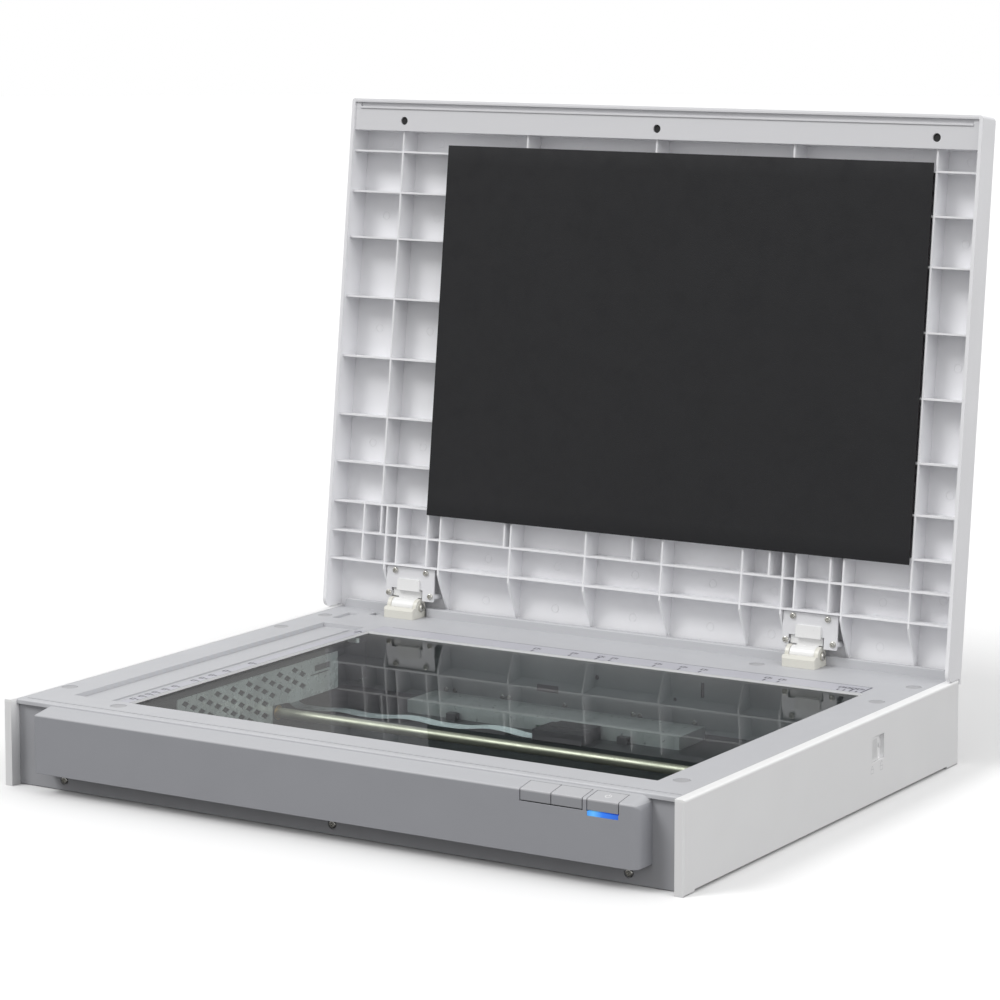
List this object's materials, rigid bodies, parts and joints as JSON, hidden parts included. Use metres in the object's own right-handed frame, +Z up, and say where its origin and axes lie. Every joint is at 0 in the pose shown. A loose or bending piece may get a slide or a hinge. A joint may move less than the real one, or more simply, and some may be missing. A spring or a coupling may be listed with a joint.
{
  "type": "flatbed scanner",
  "caption": "Large flatbed scanner: a low box with a wide glass bed, a sloping front key bar and a ribbed lid with a black mat, standing open on two lifting hinges.",
  "frame": {"origin": "centre of the footprint on the table, under the rubber feet", "axes": "+X right along the long side, +Y to the hinges at the back, +Z up"},
  "size_m": [0.5684, 0.4934, 0.4877],
  "materials": {
    "panel_white": "smooth white moulding",
    "lid_grey": "fine texture",
    "deck_grey": "fine texture",
    "bar_grey": "fine texture",
    "case_grey": "fine texture",
    "key_grey": "satin",
    "mat_black": "fine grain sheet",
    "foam_black": "soft foam",
    "platen_glass": "clear, faint green",
    "light_pipe": "clear plastic over blue light",
    "cream_plastic": "satin acetal",
    "strap_white": "satin",
    "plate_steel": "pale zinc",
    "screw_nickel": "nickel plated",
    "rod_steel": "ground",
    "sheet_steel": "bright zinc sheet",
    "inner_grey": "fine texture",
    "black_plastic": "fine texture",
    "foot_rubber": "matte",
    "belt_rubber": "toothed belt",
    "circuit_board": "solder mask",
    "sleeve_bronze": "oiled bronze",
    "mirror_glass": "front surface mirror",
    "cable_white": "flat cable",
    "strip_white": "white reference",
    "scale_lilac": "printed film",
    "lamp_clear": "clear light guide"
  },
  "bodies": {
    "base": {"bottom_case": "case_grey", "button_board": "circuit_board", "button_switches": "black_plastic", "cable_clips": "black_plastic", "cable_connector": "black_plastic", "calibration_strip": "strip_white", "corner_bracket": "sheet_steel", "data_port": "black_plastic", "deck_screw_caps": "deck_grey", "drive_belt": "belt_rubber", "ffc_cable": "cable_white", "front_bar": "bar_grey", "front_bar_screws": "screw_nickel", "guide_rod": "rod_steel", "idler_bracket": "sheet_steel", "led_light_pipe": "light_pipe", "left_side_panel": "panel_white", "left_size_scale": "scale_lilac", "main_board": "circuit_board", "mainboard_shield": "sheet_steel", "platen_glass": "platen_glass", "port_board": "circuit_board", "power_inlet": "black_plastic", "rear_size_scale": "scale_lilac", "rear_wall_plate": "inner_grey", "rear_wall_screws": "screw_nickel", "right_side_panel": "panel_white", "riser_sockets": "inner_grey", "rod_holders": "inner_grey", "rubber_feet": "foot_rubber", "stepper_motor": "sheet_steel", "tension_spring": "rod_steel", "top_frame": "deck_grey"},
    "lid": {"lid_shell": "lid_grey", "document_mat": "mat_black", "mat_foam": "foam_black", "lid_buffers": "foot_rubber", "hinge_plates": "plate_steel", "hinge_plate_screws": "screw_nickel", "hinge_leaves": "strap_white"},
    "lid_risers": {"hinge_blocks": "cream_plastic", "hinge_pins": "screw_nickel"},
    "carriage": {"carriage_tray": "black_plastic", "carriage_cover": "black_plastic", "carriage_side_plate": "sheet_steel", "carriage_glides": "strip_white", "rod_bushings": "sleeve_bronze", "lamp_bar": "lamp_clear", "scan_mirrors": "mirror_glass", "lens_barrel": "black_plastic", "sensor_board": "circuit_board", "belt_clamp": "black_plastic"},
    "drive_pulley": {"drive_pulley": "black_plastic", "motor_shaft": "rod_steel"},
    "idler_pulley": {"idler_pulley": "black_plastic"},
    "lock": {"lock_slider": "panel_white"},
    "scan_key": {"scan_button": "key_grey"},
    "copy_key": {"copy_button": "key_grey"},
    "power_key": {"power_button": "key_grey"}
  },
  "joints": [
    {"name": "lid_lift", "type": "slide", "parent": "base", "child": "lid_risers", "axis": [0, 0, 1], "range_m": [0, 0.015]},
    {"name": "lid_hinge", "type": "hinge", "parent": "lid_risers", "child": "lid", "pos_m": [0, 0.18177, 0.0728], "axis": [1, 0, 0], "range_deg": [0, 96.5]},
    {"name": "carriage_travel", "type": "slide", "parent": "base", "child": "carriage", "axis": [1, 0, 0], "range_m": [0, 0.457]},
    {"name": "drive_pulley_spin", "type": "hinge", "parent": "base", "child": "drive_pulley", "pos_m": [-0.25875, -0.21022, 0.0293], "axis": [0, 0, 1], "range_deg": [-4771, 5]},
    {"name": "idler_pulley_spin", "type": "hinge", "parent": "base", "child": "idler_pulley", "pos_m": [0.25925, -0.21022, 0.0293], "axis": [0, 0, 1], "range_deg": [-4771, 5]},
    {"name": "lock_slide", "type": "slide", "parent": "base", "child": "lock", "axis": [0, 1, 0], "range_m": [0, 0.0088]},
    {"name": "scan_key_press", "type": "slide", "parent": "base", "child": "scan_key", "axis": [0, 0, -1], "range_m": [0, 0.0004], "stiffness_N_per_m": 2500, "springref_m": -0.0003},
    {"name": "copy_key_press", "type": "slide", "parent": "base", "child": "copy_key", "axis": [0, 0, -1], "range_m": [0, 0.0004], "stiffness_N_per_m": 2500, "springref_m": -0.0003},
    {"name": "power_key_press", "type": "slide", "parent": "base", "child": "power_key", "axis": [0, 0, -1], "range_m": [0, 0.0004], "stiffness_N_per_m": 2500, "springref_m": -0.0003}
  ],
  "couplings": [
    {"joint": "drive_pulley_spin", "follows": "carriage_travel", "rad_per_m": -181.82},
    {"joint": "idler_pulley_spin", "follows": "carriage_travel", "rad_per_m": -181.82}
  ]
}
